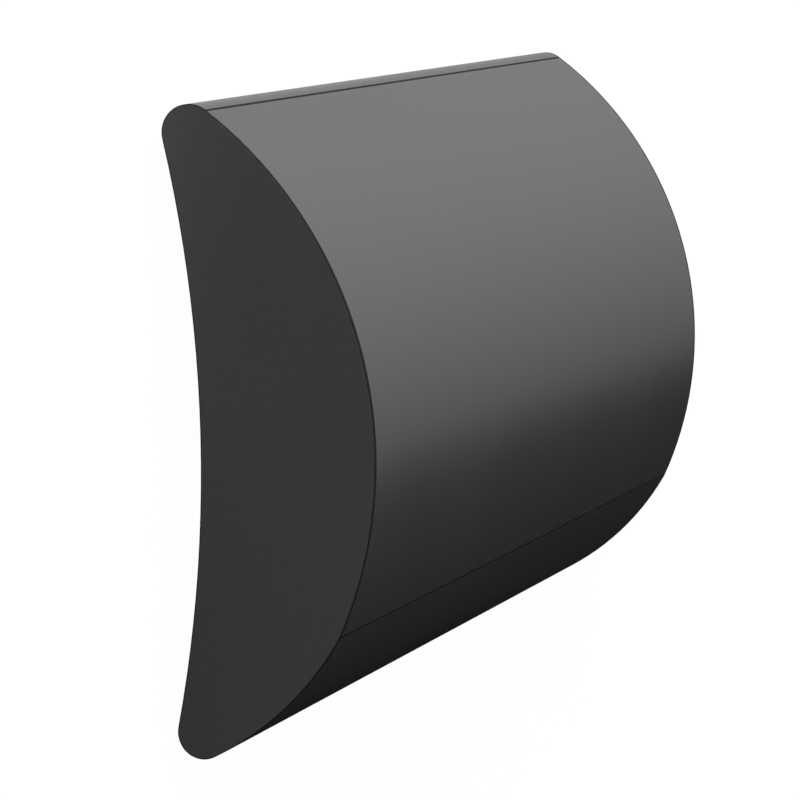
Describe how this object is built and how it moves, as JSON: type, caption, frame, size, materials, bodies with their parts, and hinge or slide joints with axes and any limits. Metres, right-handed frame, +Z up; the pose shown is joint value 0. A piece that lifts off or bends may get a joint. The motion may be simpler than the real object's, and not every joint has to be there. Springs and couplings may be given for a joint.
{
  "type": "roof vent cover",
  "caption": "Long crescent-section roof vent hood, hinged along its nose over a ducted base with an insect screen, a rain baffle and turn latches.",
  "frame": {"origin": "centre of the base's roof screw pattern, on the roof surface (underside of the gasket)", "axes": "+Z up away from the roof, +Y along the hood, -X towards the hinged nose, +X towards the tail"},
  "size_m": [0.3704, 0.712, 0.1289],
  "materials": {
    "hood_skin": "satin-gloss charcoal hood skin",
    "hood_edge_panels": "satin-gloss charcoal edge mouldings",
    "end_plates": "satin charcoal end plates",
    "black_rubber": "matt black rubber",
    "stainless_screws": "plain stainless steel",
    "stainless_pins": "ground stainless steel",
    "insect_mesh": "dull woven aluminium wire",
    "zinc_brackets": "zinc-grey coated steel",
    "sheet_aluminium": "mill-finish aluminium sheet",
    "black_nylon": "black moulded nylon",
    "inner_plastic": "matt charcoal moulded plastic"
  },
  "bodies": {
    "base": {"arm_screws": "stainless_screws", "base_frame": "inner_plastic", "buffers": "black_rubber", "clip_screws": "stainless_screws", "hinge_arm_left": "zinc_brackets", "hinge_arm_right": "zinc_brackets", "hinge_bush_left": "black_nylon", "hinge_bush_right": "black_nylon", "insect_mesh": "insect_mesh", "keeper_screws": "stainless_screws", "latch_keeper_left": "zinc_brackets", "latch_keeper_right": "zinc_brackets", "roof_gasket": "black_rubber", "screen_frame": "sheet_aluminium", "screen_seal": "black_rubber", "screen_tabs": "black_nylon", "tab_screws": "stainless_screws"},
    "hood": {"baffle_hangers": "zinc_brackets", "cheek_screws_left": "stainless_screws", "cheek_screws_right": "stainless_screws", "end_cheek_left": "end_plates", "end_cheek_right": "end_plates", "end_frame_left": "inner_plastic", "end_frame_right": "inner_plastic", "end_seal_left": "black_rubber", "end_seal_right": "black_rubber", "friction_washers": "stainless_pins", "hanger_screws": "stainless_screws", "hinge_block_left": "zinc_brackets", "hinge_block_right": "zinc_brackets", "hinge_block_screws": "stainless_screws", "hinge_pin_clips": "stainless_pins", "hinge_pin_left": "stainless_pins", "hinge_pin_right": "stainless_pins", "hood_rib_1": "inner_plastic", "hood_rib_2": "inner_plastic", "hood_rib_3": "inner_plastic", "hood_rib_4": "inner_plastic", "hood_rib_5": "inner_plastic", "hood_skin": "hood_skin", "latch_bosses": "black_nylon", "latch_spindles": "stainless_screws", "nose_seam_strip": "black_rubber", "nose_strip": "hood_edge_panels", "nose_tray_joiner": "inner_plastic", "rain_baffle": "sheet_aluminium", "tail_panel": "hood_edge_panels", "tail_seam_strip": "black_rubber", "tail_tray_joiner": "inner_plastic", "tray_edge_trim": "black_rubber", "under_tray": "inner_plastic"},
    "latch_left": {"latch_left": "black_nylon"},
    "latch_right": {"latch_right": "black_nylon"},
    "screen_clip_left": {"screen_clip_left": "black_nylon"},
    "screen_clip_right": {"screen_clip_right": "black_nylon"}
  },
  "joints": [
    {"name": "hood_hinge", "type": "hinge", "parent": "base", "child": "hood", "pos_m": [-0.16919, 0, 0.02587], "axis": [0, -1, 0], "range_deg": [0, 65]},
    {"name": "latch_left_turn", "type": "hinge", "parent": "hood", "child": "latch_left", "pos_m": [0.06, -0.298, 0.009], "axis": [0, 0, 1], "range_deg": [0, 90]},
    {"name": "latch_right_turn", "type": "hinge", "parent": "hood", "child": "latch_right", "pos_m": [0.06, 0.298, 0.009], "axis": [0, 0, -1], "range_deg": [0, 90]},
    {"name": "screen_clip_left_turn", "type": "hinge", "parent": "base", "child": "screen_clip_left", "pos_m": [0.08319, -0.12, 0.061], "axis": [0, 0, -1], "range_deg": [0, 90]},
    {"name": "screen_clip_right_turn", "type": "hinge", "parent": "base", "child": "screen_clip_right", "pos_m": [0.08319, 0.12, 0.061], "axis": [0, 0, 1], "range_deg": [0, 90]}
  ]
}
